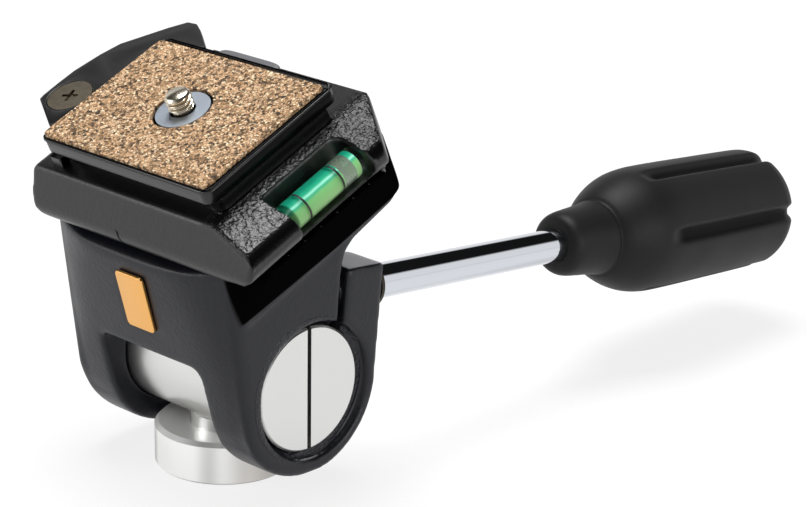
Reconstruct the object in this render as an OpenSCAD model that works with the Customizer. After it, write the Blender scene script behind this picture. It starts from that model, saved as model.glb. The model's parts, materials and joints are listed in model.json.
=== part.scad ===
// Two-way pan and tilt head for a tripod, with a twist handle that locks both motions.
// Millimetres, +Z up. The origin is on the pan axis at the base's mounting face.
// +X runs along the tilt axis, -Y is the lens side and the handle points towards +Y.
// The tilting pieces are written level about the tilt axis and then leaned by tilt_pose.

/* [Pose] */
// Forward lean of the head about the tilt axis
tilt_pose = 24; // [0:1:40]

/* [Base] */
// Diameter of the base disc
base_d = 34; // [28:0.5:34.5]
// Height of the base disc
base_h = 10.6; // [9:0.1:10.8]
// Diameter of the neck under the barrel
neck_d = 16.8; // [14:0.2:20]
// Major diameter of the tripod thread, 3/8 inch
tripod_thread_d = 9.525; // [6.35:0.005:9.525]
// Depth of the tripod thread
tripod_thread_l = 8; // [6:0.5:9]
// Diameter of the pan spindle
spindle_d = 12; // [10:0.5:13]

/* [Barrel] */
// Height of the tilt axis over the mounting face
tilt_axis_h = 26.5; // [26.5:0.1:29]
// Diameter of the tilt barrel
barrel_d = 30.6; // [30:0.1:30.8]
// Length of the tilt barrel
barrel_l = 58.9; // [56:0.1:60]
// Gap between the barrel halves
barrel_gap = 1.2; // [0.8:0.1:2]

/* [Yoke] */
// Width over the two legs
yoke_w = 60.4; // [58:0.1:62]
// Open width between the legs
fork_w = 35; // [34.8:0.1:38]
// Outer radius of the legs round the barrel
leg_r = 21.4; // [20.5:0.1:22]
// Height of the yoke's top face over the tilt axis
yoke_top = 44; // [42:0.5:48]
// Backward lean of the front face
front_lean = 8.6; // [6:0.2:11]
// Depth of the top block, front to back
block_depth = 59.3; // [56:0.1:62]
// Underside of the rear overhang over the tilt axis
overhang_z = 25.2; // [24:0.2:28]
// Height where the right-hand flare starts
flare_z = 27; // [24:0.5:30]
// Bulge of the left leg beyond the barrel's end
left_bulge = 1.3; // [0:0.1:2]

/* [Clamp] */
// Lean of the clamp and its handle below the plate's plane
clamp_lean = 29.5; // [26:0.5:33]
// Width of the clamp slit
slit_w = 1.9; // [1.5:0.1:2.5]
// Height of the handle's axis over the tilt axis, square to the handle
handle_rise = 21; // [20:0.1:22.5]
// Height of the clamp ear over the tilt axis, square to the handle
ear_rise = 27.8; // [26:0.1:28.4]

/* [Handle] */
// Diameter of the handle rod
rod_d = 8.6; // [7.5:0.1:9]
// Diameter of the clamp thread
clamp_thread_d = 6; // [5:0.5:6]
// Free length of rod between the ear and the grip
rod_free = 66.5; // [50:1:80]
// Length of the grip
grip_l = 91.5; // [90:1:120]
// Diameter of the grip
grip_d = 33; // [28:0.5:36]
// Number of flutes round the grip
grip_flutes = 5; // [4:1:8]

/* [Platform] */
// Height of the platform casting
platform_h = 11; // [9:0.1:12]
// Reach of the platform to the left of the pan axis
platform_left = 33.2; // [31:0.1:34]
// Reach of the platform to the right of the pan axis
platform_right = 43.6; // [43:0.1:46]
// Diameter of the level vial
vial_d = 7; // [6:0.1:7.2]
// Length of the level vial
vial_l = 24; // [20:0.5:25]

/* [Release plate] */
// Width of the release plate
plate_w = 57.6; // [54:0.1:58]
// Depth of the release plate, front to back
plate_depth = 42.4; // [40:0.1:44]
// Thickness of the plate's slab
slab_t = 4.2; // [3.5:0.1:5]
// Height of the dovetail foot
foot_h = 3.8; // [3.6:0.1:5]
// Width of the dovetail foot at the bottom
foot_w = 48; // [46:0.1:49]
// Thickness of the cork pad
cork_t = 1.4; // [1:0.1:2]
// Major diameter of the camera screw, 1/4 inch
screw_d = 6.35; // [5:0.05:6.35]
// Reach of the camera screw over the cork
screw_reach = 4.3; // [4:0.1:6]

/* [Lever] */
// Thickness of the lever's arm
lever_t = 2.5; // [2:0.1:2.6]
// Diameter of the lever's pivot screw head
pivot_head_d = 11.4; // [9:0.1:12]

/* [Hidden] */
$fn = 96;

run_gap = 0.05;                          // radial clearance of a running fit
seat_gap = 0.1;                          // clearance under a piece that is only laid on
barrel_r = barrel_d / 2;
bore_r = barrel_r + run_gap;
leg_in = fork_w / 2;
leg_out = yoke_w / 2;
fork_roof = barrel_r + 1.1;              // roof of the fork over the tilt axis
neck_top = tilt_axis_h - barrel_r * 0.88;
washer_t = 0.9;
spot_z = neck_top + washer_t + seat_gap; // flat inside the barrel that runs on the pan washer
spindle_r = spindle_d / 2;
cap_r = spindle_r + 2.5;                 // head that the two barrel halves close round
cap_t = 2.5;
cap_top = tilt_axis_h + 4;

front_y = (0.03 - leg_r) / cos(front_lean); // front face, just inside the legs' round
leg_top = leg_r * sin(front_lean);       // height where the legs' round meets the front face
function front_at(z) = front_y + z * tan(front_lean);
rear_y = front_at(yoke_top) + block_depth;

slit_mid = 8.4;                          // middle of the slit along the handle
clamp_c = cos(clamp_lean);
clamp_s = sin(clamp_lean);
function from_clamp(y, z) = [y * clamp_c + z * clamp_s, z * clamp_c - y * clamp_s];
handle_x = (leg_in + leg_out) / 2;
thread_r = clamp_thread_d / 2;
thread_depth = 11;                       // how far the handle's thread reaches past the slit
ear_rear = leg_r - 0.1;                  // rear face of the ear, just inside the leg's radius
thrust_t = 0.9;
shoulder_y = leg_r + thrust_t + seat_gap;
grip_y = shoulder_y + rod_free;
core_r = rod_d / 2 + 2.2;
core_l = grip_l - 22;
core_start = 8;                          // depth of the core behind the grip's mouth

deck = yoke_top + platform_h;            // platform's top deck over the tilt axis
plate_x = 1.2;                           // middle of the release plate
plate_y = 14.4;
foot_z = deck + 0.15;
slab_z = foot_z + foot_h;
slab_top = slab_z + slab_t;
cork_sink = 0.5;
cork_z = slab_top - cork_sink;
cork_top = cork_z + cork_t;
foot_slope = 0.62;                       // sideways run of the dovetail for each unit of height
screw_x = plate_x - 0.1;
screw_y = plate_y - 0.3;
screw_hole_r = screw_d / 2 + 0.2;
washer_r = 6.7;
head_r = 7.2;

lever_z = slab_z - 0.2 - lever_t;
pivot_x = -40.5;
pivot_y = 12.3;
pivot_r = 3;
cam_reach = (plate_x - foot_w / 2) - pivot_x;

vial_x = 38;
vial_y = 16.6;
vial_r = vial_d / 2;
vial_z = deck - 5.8;

nose_drop = 1.7;                         // how far the platform's nose hangs below the yoke's top
nose_rear = front_at(yoke_top) + 9;

badge_x = 1;
badge_z = 30.7;
badge_w = 9.4;
badge_h = 14.8;
badge_sink = 0.5;
badge_t = 0.9;
screw_spots = [[-13, 2], [-13, 30], [16, 2], [16, 30]];
cork_w = plate_w - 1.5;
cork_depth = plate_depth - 2.8;
washer_z = cork_z + seat_gap;

module head_pose() {
    translate([0, 0, tilt_axis_h]) rotate([tilt_pose, 0, 0]) children();
}

module clamp_frame() {
    rotate([-clamp_lean, 0, 0]) children();
}

// Outline in Y and Z carried along X
module across(x0, x1) {
    translate([x0, 0, 0]) rotate([90, 0, 90]) linear_extrude(x1 - x0) children();
}

// Outline in X and Z carried along Y
module lengthways(y0, y1) {
    translate([0, y1, 0]) rotate([90, 0, 0]) linear_extrude(y1 - y0) children();
}

module bar_x(r, x0, x1) {
    translate([x0, 0, 0]) rotate([0, 90, 0]) cylinder(r = r, h = x1 - x0);
}

module bar_y(r, y0, y1) {
    translate([0, y0, 0]) rotate([-90, 0, 0]) cylinder(r = r, h = y1 - y0);
}

module round_rect(w, d, r) {
    square([w - 2 * r, d], center = true);
    square([w, d - 2 * r], center = true);
    for (sx = [-1, 1], sy = [-1, 1])
        translate([sx * (w / 2 - r), sy * (d / 2 - r)]) circle(r = r);
}

module base_disc() {
    edge = 1;
    dish = 0.7;
    color("silver") difference() {
        rotate_extrude() polygon([
            [0, 0], [base_d / 2 - 0.6, 0], [base_d / 2, 0.6], [base_d / 2, base_h - edge],
            [base_d / 2 - edge, base_h], [neck_d / 2 + 1, base_h - dish],
            [neck_d / 2, base_h - dish], [neck_d / 2, neck_top], [0, neck_top]]);
        translate([0, 0, -1]) cylinder(d = tripod_thread_d, h = tripod_thread_l + 1);
        translate([0, 0, tripod_thread_l + 1]) cylinder(r = spindle_r, h = neck_top);
    }
}

module pan_spindle() {
    seat = tripod_thread_l + 1;
    color("gainsboro") {
        translate([0, 0, seat]) cylinder(r = spindle_r, h = cap_top - seat);
        translate([0, 0, cap_top - cap_t]) cylinder(r = cap_r, h = cap_t);
    }
}

module pan_washer() {
    color("peru") translate([0, 0, neck_top]) difference() {
        cylinder(d = neck_d - 0.4, h = washer_t);
        translate([0, 0, -1]) cylinder(r = spindle_r + run_gap, h = washer_t + 2);
    }
}

module barrel() {
    bevel = 0.5;
    difference() {
        translate([0, 0, tilt_axis_h]) rotate([0, 90, 0]) rotate_extrude() polygon([
            [0, -barrel_l / 2], [barrel_r - bevel, -barrel_l / 2], [barrel_r, -barrel_l / 2 + bevel],
            [barrel_r, barrel_l / 2 - bevel], [barrel_r - bevel, barrel_l / 2], [0, barrel_l / 2]]);
        cylinder(r = spindle_r + run_gap, h = cap_top);
        cylinder(d = neck_d + 0.6, h = spot_z);
        translate([0, 0, cap_top - cap_t - run_gap]) cylinder(r = cap_r + run_gap, h = cap_t + 2 * run_gap);
    }
}

module barrel_half(side) {
    reach = barrel_r + 1;
    intersection() {
        barrel();
        translate([-barrel_l, side > 0 ? barrel_gap / 2 : -reach, tilt_axis_h - reach])
            cube([2 * barrel_l, reach - barrel_gap / 2, 2 * reach]);
    }
}

module barrel_front_half() {
    color("whitesmoke") barrel_half(-1);
}

module barrel_rear_half() {
    color("gainsboro") barrel_half(1);
}

// Side outline of the yoke above the legs, front face to rear wall
module yoke_side() {
    wall = slit_mid - slit_w / 2;
    knee = from_clamp(wall, ear_rise + 1.5);
    shelf = yoke_top - nose_drop - 0.3;
    polygon([
        [nose_rear + 0.6, yoke_top], [nose_rear + 0.6, shelf], [front_at(shelf) + 0.8, shelf],
        [front_at(shelf - 0.6), shelf - 0.6], [front_at(leg_top), leg_top],
        from_clamp(wall, -3), knee,
        [knee[0] + 2, overhang_z - 1.2], [knee[0] + 5, overhang_z],
        [rear_y - 4, overhang_z + 0.8], [rear_y, overhang_z + 5], [rear_y, yoke_top]]);
}

// Front outline of the flare under the vial side
module yoke_front() {
    flare_right = platform_right - 1.1;
    slope = (yoke_top - flare_z) / (flare_right - leg_out);
    polygon([
        [leg_in, flare_z - 2 * slope], [leg_out - 2, flare_z - 2 * slope],
        [flare_right, yoke_top], [leg_in, yoke_top]]);
}

// Plan of the legs: a bowed front with a rounded corner on each side
module skin_plan() {
    r = 5;
    bow = 60;
    ahead = 0.4;                         // lets the corner arc cross the bow instead of touching it
    back = 2 * bow - 20;
    spare = 0.08;                        // keeps the skin's sides just outside the legs
    left = leg_out + left_bulge + spare - r;
    left_y = bow - sqrt(pow(bow - r, 2) - left * left) - ahead;
    right = leg_out + spare - r;
    right_y = bow - sqrt(pow(bow - r, 2) - right * right) - ahead;
    reach = bow / (bow - r);
    intersection() {
        translate([0, bow]) circle(r = bow, $fn = 180);
        union() {
            translate([-left, left_y]) circle(r = r);
            translate([right, right_y]) circle(r = r);
            translate([-left - r, left_y]) square([2 * r, back - left_y]);
            translate([right - r, right_y]) square([2 * r, back - right_y]);
            translate([-left * reach, -1]) square([(left + right) * reach, back + 1]);
        }
    }
}

// Leaning skin that draws the front corners back more towards the top
module front_skin() {
    skin_lean = 16.7;
    skin_y = -30;
    translate([0, skin_y, 0]) rotate([-skin_lean, 0, 0]) translate([0, 0, -60])
        linear_extrude(130) skin_plan();
}

// Front limit of the flare, which starts behind the rounded corner
module flare_limit() {
    polygon([[-10.8, flare_z - 1], [-6.5, yoke_top], [80, yoke_top], [80, flare_z - 1]]);
}

// Plan of the yoke's top block with its rear corners cut
module yoke_plan() {
    cut = 12;
    left = leg_out + left_bulge + 1;
    polygon([
        [-left, -40], [platform_right, -40], [platform_right, rear_y - cut - 1],
        [platform_right - cut - 2, rear_y], [cut - left, rear_y], [-left, rear_y - cut]]);
}

// Round of both legs about the tilt axis, with a large radius on the closed left end
module leg_round(right) {
    r = 3.6;
    end = leg_out + left_bulge + 0.06;
    arc = [for (a = [0 : 7.5 : 90]) [leg_r - r + r * cos(a), end - r + r * sin(a)]];
    rotate([0, -90, 0]) rotate_extrude($fn = 180)
        polygon(concat([[0, -right], [leg_r, -right]], arc, [[0, end]]));
}

// Both legs, the block over them and the clamp ear, a little wider than the yoke
module legs() {
    left = -leg_out - left_bulge - 1;
    right = leg_out + 1;
    intersection() {
        across(left, right) yoke_side();
        front_skin();
        translate([0, 0, -40]) linear_extrude(100) yoke_plan();
    }
    intersection() {
        leg_round(right);
        front_skin();
    }
    clamp_frame() translate([leg_in + 0.3, slit_mid, -1])
        cube([right - leg_in - 0.3, ear_rear - slit_mid, ear_rise + 1]);
}

module yoke() {
    trim = 0.1;                          // the slit's cut also faces the wall in front of it
    color([0.16, 0.16, 0.17]) head_pose() difference() {
        union() {
            intersection() {
                legs();
                translate([-leg_out - left_bulge, -50, -50])
                    cube([2 * leg_out + left_bulge, 110, 110]);
            }
            intersection() {
                across(leg_in, platform_right) yoke_side();
                across(leg_in, platform_right) flare_limit();
                lengthways(-40, 60) yoke_front();
                translate([0, 0, -40]) linear_extrude(100) yoke_plan();
            }
        }
        bar_x(bore_r, -leg_out - 2, leg_out + 1);
        fork_space();
        clamp_frame() {
            translate([leg_in - 1, slit_mid - slit_w / 2 - trim, 0])
                cube([leg_out - leg_in + 2, slit_w + trim, ear_rise + 1]);
            translate([handle_x, 0, handle_rise]) {
                bar_y(thread_r + 0.4, slit_mid, leg_r + 1);
                bar_y(thread_r, slit_mid - slit_w / 2 - thread_depth - 1, slit_mid);
            }
        }
        barrel_recess();
        lengthways(-60, 60) polygon([
            [-leg_out - left_bulge - 1, yoke_top - 9], [-leg_out - 0.2, yoke_top + 1],
            [-leg_out - left_bulge - 1, yoke_top + 1]]);
        badge_seat(0) badge_shape(badge_sink + 1, 0.1);
        for (p = screw_spots) translate([p[0], p[1], yoke_top - 8]) cylinder(r = 1.5, h = 9);
    }
}

// Space between the legs, with rounded corners under its roof
module fork_space() {
    r = 3;
    lengthways(-60, 60) {
        translate([-leg_in, -60]) square([fork_w, 60 + fork_roof - r]);
        translate([r - leg_in, -60]) square([fork_w - 2 * r, 60 + fork_roof]);
        for (side = [-1, 1]) translate([side * (leg_in - r), fork_roof - r]) circle(r = r);
    }
}

// Shallow eccentric recess round the barrel's end in the right leg
module barrel_recess() {
    recess = 2.2;
    translate([0, 1.1, -1.5]) bar_x(barrel_r + 1.6, leg_out - recess, leg_out + 1);
}

module badge_seat(depth) {
    translate([badge_x, front_at(badge_z), badge_z]) rotate([-front_lean, 0, 0])
        translate([0, badge_sink - depth, 0]) rotate([90, 0, 0]) children();
}

module badge_shape(t, extra) {
    linear_extrude(t) round_rect(badge_w + 2 * extra, badge_h + 2 * extra, 1.2 + extra);
}

module badge_plate() {
    color("goldenrod") head_pose() badge_seat(0) badge_shape(badge_t, 0);
}

// Tangent from a point to a circle, on the side with the smaller Y
function tangent_point(p, c, r) =
    let (d = norm(p - c), a = atan2(p[1] - c[1], p[0] - c[0]) + acos(r / d))
    [c[0] + r * cos(a), c[1] + r * sin(a)];

module platform_side() {
    r = 3.4;
    nose = [front_at(yoke_top) + 1.8 + r, yoke_top + r - nose_drop];
    brow = [front_at(deck) + 5, deck];
    rear = rear_y - 0.2;
    translate(nose) circle(r = r);
    polygon([
        [nose[0], yoke_top - nose_drop], [nose_rear - 1, yoke_top - nose_drop],
        [nose_rear, yoke_top], [rear, yoke_top], [rear, deck], brow,
        tangent_point(brow, nose, r), nose]);
}

module platform_front() {
    right = platform_right;
    low = yoke_top - nose_drop - 0.1;
    polygon([
        [-platform_left + 4.6, low], [12, low], [24, low + 0.5], [34, yoke_top - 0.5],
        [right - 3, yoke_top + 0.6], [right - 0.8, yoke_top + 2], [right, yoke_top + 3.6],
        [right, yoke_top + 4.6], [right - 0.6, yoke_top + 5.9], [right - 2, yoke_top + 7.4],
        [30.4, deck], [-platform_left + 1, deck], [-platform_left, deck - 1],
        [-platform_left, yoke_top + 5.5], [-platform_left + 0.6, yoke_top + 2.4],
        [-platform_left + 2.1, yoke_top + 0.1]]);
}

module platform_plan() {
    rear = rear_y - 0.2;
    right = platform_right;
    polygon([
        [-platform_left, -40], [right, -40], [right, rear - 11.2],
        [right - 14, rear], [-platform_left + 10, rear], [-platform_left, rear - 8]]);
}

// Plan of the ear that carries the lever's pivot
module pivot_ear() {
    translate([pivot_x, pivot_y]) circle(r = 5.6);
    polygon([
        [pivot_x, pivot_y - 5.6], [-platform_left + 2, pivot_y - 9],
        [-platform_left + 2, pivot_y + 11], [pivot_x, pivot_y + 5.6]]);
}

module fixed_jaw() {
    inner = plate_x + foot_w / 2 + run_gap;
    top = slab_z - 0.2;
    rise = top - foot_z;
    polygon([
        [inner, deck - 1], [inner, foot_z], [inner - rise * foot_slope, top],
        [plate_x + plate_w / 2 - 0.8, top], [plate_x + plate_w / 2 - 0.8, deck - 1]]);
}

// Pocket that holds the level vial, open above and to the right
module vial_pocket() {
    floor_z = vial_z - vial_r - run_gap;
    back = vial_x - 5.4;
    r = 2.5;
    y0 = vial_y - vial_l / 2 - seat_gap;
    y1 = vial_y + vial_l / 2 + seat_gap + 0.3;
    translate([0, 0, floor_z]) linear_extrude(20) {
        translate([back + r, y0]) square([20, y1 - y0]);
        translate([back, y0]) square([r + 1, y1 - y0 - r]);
        translate([back + r, y1 - r]) circle(r = r);
    }
}

module platform() {
    color([0.22, 0.22, 0.23]) head_pose() difference() {
        union() {
            intersection() {
                across(-platform_left, platform_right) platform_side();
                lengthways(-40, 60) platform_front();
                translate([0, 0, yoke_top - nose_drop - 1])
                    linear_extrude(platform_h + nose_drop + 2) platform_plan();
            }
            translate([0, 0, deck - 6]) linear_extrude(6) pivot_ear();
            translate([pivot_x, pivot_y, deck - 1]) cylinder(r = 4.6, h = lever_z - deck + 1 - seat_gap);
            lengthways(plate_y - 18, plate_y + 18) fixed_jaw();
        }
        vial_pocket();
        translate([pivot_x, pivot_y, deck - 5]) cylinder(r = pivot_r - 0.5, h = 20);
        for (p = screw_spots) {
            translate([p[0], p[1], yoke_top - 1]) cylinder(r = 2.2, h = 20);
            translate([p[0], p[1], deck - 2.3]) cylinder(r1 = 2.2, r2 = 4.2, h = 2);
            translate([p[0], p[1], deck - 0.35]) cylinder(r = 4.2, h = 2);
        }
    }
}

// Small stop on the deck, in front of the dovetail foot
module plate_stop() {
    w = 3.7;
    d = 2.6;
    color("dimgray") head_pose()
        translate([plate_x - foot_w / 2 - 0.5 - w / 2, front_at(deck) + 6.4 + d / 2, deck])
            linear_extrude(2.8) round_rect(w, d, 0.5);
}

module platform_screws() {
    color("dimgray") head_pose() for (p = screw_spots) translate([p[0], p[1], 0]) difference() {
        union() {
            translate([0, 0, yoke_top - 6]) cylinder(r = 1.5, h = deck - yoke_top + 4);
            translate([0, 0, deck - 2.3]) cylinder(r1 = 2.1, r2 = 4.1, h = 2);
        }
        translate([0, 0, deck - 1.6]) cylinder(r = 1.6, h = 2, $fn = 6);
    }
}

module level_vial() {
    color([0.8, 0.92, 0.85]) head_pose() translate([vial_x, vial_y, vial_z]) difference() {
        bar_y(vial_r, -vial_l / 2, vial_l / 2);
        bar_y(vial_r - 0.9, -vial_l / 2 + 1.5, vial_l / 2 - 1.5);
    }
}

module vial_liquid() {
    bubble = 6.5;
    fill = vial_r - 0.9;
    color([0.35, 0.8, 0.5]) head_pose() translate([vial_x, vial_y, vial_z])
        bar_y(fill, -vial_l / 2 + 1.5, vial_l / 2 - 1.5 - bubble);
}

module vial_rings() {
    color("black") head_pose() translate([vial_x, vial_y, vial_z]) for (y = [-7, 4])
        translate([0, y, 0]) difference() {
            bar_y(vial_r + 0.04, -0.3, 0.3);
            bar_y(vial_r, -1, 1);
        }
}

// Plan of the lever: a curved arm from the hub to the finger tab behind the plate
module lever_plan() {
    polygon([
        [-36.4, 1.6], [-47.4, 8.2], [-48, 10.5], [-48.1, 15], [-48, 20.3], [-46.5, 28], [-44.7, 33.4],
        [-40.8, 38.3], [-36.9, 43.2], [-33.5, 46.8], [-30.5, 47], [-27.3, 45.2], [-20.6, 40.4],
        [-21.4, 38.4], [-30.4, 36.6], [-33, 33], [-33.2, 26], [pivot_x + 10, pivot_y + 8],
        [pivot_x + 12, pivot_y], [pivot_x + 9.5, pivot_y - 8]]);
}

module release_lever() {
    cam_h = lever_z + lever_t - foot_z - 0.2;
    cam_low = cam_reach - 0.3;
    color([0.14, 0.14, 0.15]) head_pose() difference() {
        union() {
            translate([0, 0, lever_z]) linear_extrude(lever_t) lever_plan();
            intersection() {
                translate([pivot_x, pivot_y, foot_z + 0.2])
                    cylinder(r1 = cam_low, r2 = cam_low + cam_h * foot_slope, h = cam_h);
                translate([pivot_x, pivot_y, deck]) linear_extrude(10)
                    polygon([[8, -5], [30, -5], [30, 8], [8, 8]]);
            }
        }
        translate([pivot_x, pivot_y, deck]) cylinder(r = pivot_r + run_gap, h = 10);
        translate([pivot_x, pivot_y, lever_z + lever_t - 1.3]) cylinder(d = pivot_head_d + 0.2, h = 5);
    }
}

module lever_pivot_screw() {
    top = lever_z + lever_t;
    color("dimgray") head_pose() translate([pivot_x, pivot_y, 0]) difference() {
        union() {
            translate([0, 0, deck - 5]) cylinder(r = pivot_r - 0.5, h = 8);
            translate([0, 0, lever_z - seat_gap]) cylinder(r = pivot_r, h = lever_t - 1.2 + seat_gap);
            translate([0, 0, top - 1.2]) cylinder(d = pivot_head_d, h = 1.1);
        }
        for (a = [0, 90]) rotate([0, 0, a + 20]) translate([-2.2, -0.45, top - 1])
            cube([4.4, 0.9, 2]);
    }
}

module plate_at(z) {
    translate([plate_x, plate_y, z]) children();
}

module release_plate() {
    color([0.08, 0.08, 0.085]) head_pose() difference() {
        union() {
            plate_at(slab_z) linear_extrude(slab_t - 0.5) round_rect(plate_w, plate_depth, 2.5);
            plate_at(slab_top - 0.5) linear_extrude(0.5)
                round_rect(plate_w - 0.6, plate_depth - 0.6, 2.2);
        }
        translate([0, -0.9, 0]) plate_at(cork_z)
            linear_extrude(2) round_rect(cork_w, cork_depth, 1.4);
        translate([screw_x, screw_y, foot_z]) cylinder(r = screw_hole_r, h = 20);
    }
}

// Dovetail under the slab, with a well for the camera screw's head
module plate_foot() {
    half = foot_w / 2;
    top_half = half - foot_h * foot_slope;
    color([0.1, 0.1, 0.105]) head_pose() difference() {
        lengthways(plate_y - 17.5, plate_y + 17.5) polygon([
            [plate_x - half, foot_z], [plate_x + half, foot_z],
            [plate_x + top_half, slab_z], [plate_x - top_half, slab_z]]);
        translate([screw_x, screw_y, foot_z - 1]) cylinder(r = head_r + 0.6, h = foot_h + 2);
    }
}

module cork_pad() {
    color("burlywood") head_pose() difference() {
        translate([0, -0.9, 0]) plate_at(cork_z)
            linear_extrude(cork_t) round_rect(cork_w - 0.1, cork_depth - 0.1, 1.3);
        translate([screw_x, screw_y, cork_z - 1]) cylinder(r = washer_r + 0.7, h = cork_t + 2);
    }
}

module screw_washer() {
    color("lightsteelblue") head_pose() translate([screw_x, screw_y, washer_z]) difference() {
        cylinder(r = washer_r, h = 1);
        translate([0, 0, -1]) cylinder(r = screw_d / 2 + run_gap, h = 3);
    }
}

module camera_screw() {
    tip = 0.5;
    neck_r = 2.5;                        // the plate's hole holds the screw captive by this neck
    top = cork_top + screw_reach;
    thread_z = cork_top + 0.3;
    head_t = foot_h - 1;
    head_z = slab_z - seat_gap - head_t;
    color("lightgray") head_pose() translate([screw_x, screw_y, 0]) difference() {
        union() {
            translate([0, 0, head_z]) cylinder(r = head_r, h = head_t);
            translate([0, 0, head_z]) cylinder(r = neck_r, h = thread_z - head_z + 1);
            translate([0, 0, thread_z]) cylinder(d = screw_d, h = top - tip - thread_z);
            translate([0, 0, top - tip]) cylinder(d1 = screw_d, d2 = screw_d - 2 * tip, h = tip);
        }
        translate([-head_r - 1, -0.9, head_z - 1]) cube([2 * head_r + 2, 1.8, 2.2]);
    }
}

module on_handle() {
    head_pose() clamp_frame() translate([handle_x, 0, handle_rise]) children();
}

module thrust_washer() {
    color("silver") on_handle() difference() {
        bar_y(6, leg_r + seat_gap / 2, leg_r + seat_gap / 2 + thrust_t);
        bar_y(thread_r + run_gap, 0, 60);
    }
}

module handle_rod() {
    thread_end = slit_mid - slit_w / 2 - thread_depth;
    color("lightgray") on_handle() {
        bar_y(thread_r - run_gap, thread_end, shoulder_y + 1);
        bar_y(rod_d / 2, shoulder_y, grip_y + core_l * 0.6);
    }
}

module grip_core() {
    color([0.25, 0.25, 0.26]) on_handle() difference() {
        bar_y(core_r, grip_y + core_start, grip_y + core_start + core_l);
        bar_y(rod_d / 2, 0, grip_y + core_l * 0.6);
    }
}

// Half profile of the grip: distance along the rod, then radius
module grip_profile() {
    r = grip_d / 2;
    end_r = 8;
    neck_r = r * 0.56;
    end_arc = [for (a = [90 : -7.5 : 0])
        [grip_l - end_r + end_r * cos(a), r - end_r + end_r * sin(a)]];
    difference() {
        polygon(concat([
            [0, 0], [0, rod_d / 2 + 0.8], [1.6, neck_r - 2], [4, neck_r - 0.4], [8, neck_r],
            [15, neck_r + 0.6], [19, neck_r + 2], [24, r - 3.2], [29, r - 1.2], [34, r - 0.3],
            [38, r]], end_arc, [[grip_l, 0]]));
        translate([-1, -1]) square([core_start + 1.1, rod_d / 2 + run_gap + 1]);
        translate([core_start, -1]) square([core_l + run_gap, core_r + run_gap + 1]);
    }
}

module handle_grip() {
    flute_r = 3.2;
    flute_deep = 1.3;
    flute_start = 35.5;
    first_flute = 15.7;
    r = grip_d / 2;
    color([0.13, 0.13, 0.14]) on_handle() translate([0, grip_y, 0]) difference() {
        rotate([-90, 0, 0]) rotate_extrude() rotate([0, 0, 90]) mirror([0, 1]) grip_profile();
        for (i = [0 : grip_flutes - 1]) rotate([0, i * 360 / grip_flutes + first_flute, 0]) {
            translate([0, flute_start, r + flute_r - flute_deep]) bar_y(flute_r, 0, grip_l);
            translate([0, flute_start, r + flute_r - flute_deep]) sphere(r = flute_r);
        }
    }
}

base_disc();
pan_spindle();
pan_washer();
barrel_front_half();
barrel_rear_half();
yoke();
badge_plate();
platform();
platform_screws();
level_vial();
vial_liquid();
vial_rings();
plate_stop();
release_lever();
lever_pivot_screw();
release_plate();
plate_foot();
cork_pad();
screw_washer();
camera_screw();
thrust_washer();
handle_rod();
grip_core();
handle_grip();
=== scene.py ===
# %% [markdown]
# A two-way pan and tilt head, dressed for a product photograph
#
# The head is a black cast yoke that clamps a bright aluminium barrel, with a release plate, a spirit
# level and a long twist handle. The solid model is loaded as a fixed frame, and this lesson adds what
# a solid model leaves out: soft cast edges, a cut thread, cork grains, a bubble and real finishes.

import json
import math

import bmesh
import bpy
import numpy as np
from mathutils import Matrix

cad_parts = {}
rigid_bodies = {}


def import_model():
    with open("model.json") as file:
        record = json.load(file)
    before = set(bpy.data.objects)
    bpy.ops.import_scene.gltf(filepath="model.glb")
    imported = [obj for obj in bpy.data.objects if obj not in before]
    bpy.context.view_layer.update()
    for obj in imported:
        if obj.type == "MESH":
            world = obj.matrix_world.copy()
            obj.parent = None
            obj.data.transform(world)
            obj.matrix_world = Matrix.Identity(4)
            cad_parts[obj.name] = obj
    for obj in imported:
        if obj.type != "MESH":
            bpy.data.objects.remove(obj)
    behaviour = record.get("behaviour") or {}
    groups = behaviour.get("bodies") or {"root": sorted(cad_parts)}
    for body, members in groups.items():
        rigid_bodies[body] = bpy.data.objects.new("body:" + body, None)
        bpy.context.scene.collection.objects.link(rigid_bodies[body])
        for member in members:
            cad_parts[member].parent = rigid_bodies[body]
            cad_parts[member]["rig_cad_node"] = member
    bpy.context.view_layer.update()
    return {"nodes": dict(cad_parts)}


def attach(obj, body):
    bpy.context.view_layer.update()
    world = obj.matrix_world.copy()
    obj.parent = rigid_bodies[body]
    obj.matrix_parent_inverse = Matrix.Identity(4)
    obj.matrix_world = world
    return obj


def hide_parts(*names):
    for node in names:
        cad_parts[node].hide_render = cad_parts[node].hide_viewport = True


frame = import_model()
nodes = frame["nodes"]
MM = 0.001

# %% [markdown]
# The whole head leans forward about the tilt axis, so most pieces are easier to think of level.
# A tilted set of axes, with its origin on the tilt axis, gives each measurement the number that
# a maker would read on the bench. One function carries such points into the scene.

# %% The tilted axes of the head and the axes of its handle
TILT = math.radians(24)
TILT_HEIGHT = 26.5
CLAMP_LEAN = math.radians(29.5)
HANDLE_X, HANDLE_RISE = 23.85, 21.0
SHOULDER_Y = 22.4
GRIP_Y = SHOULDER_Y + 66.5
DECK = 55.0
SCREW = (1.1, 14.1)
CORK_TOP = 64.05
VIAL = np.array([38.0, 16.6, DECK - 5.8])


def turned(angle):
    """Axes turned about x by an angle: the columns are right, back and up."""
    c, s = math.cos(angle), math.sin(angle)
    return np.array([[1, 0, 0], [0, c, -s], [0, s, c]])


head_axes = turned(TILT)
handle_axes = turned(TILT - CLAMP_LEAN)
tilt_centre = np.array([0, 0, TILT_HEIGHT])


def on_head(points):
    """Millimetres in the head's level axes to metres in the scene: turn by the tilt, lift to the axis."""
    return (np.asarray(points, float) @ head_axes.T + tilt_centre) * MM


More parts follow.
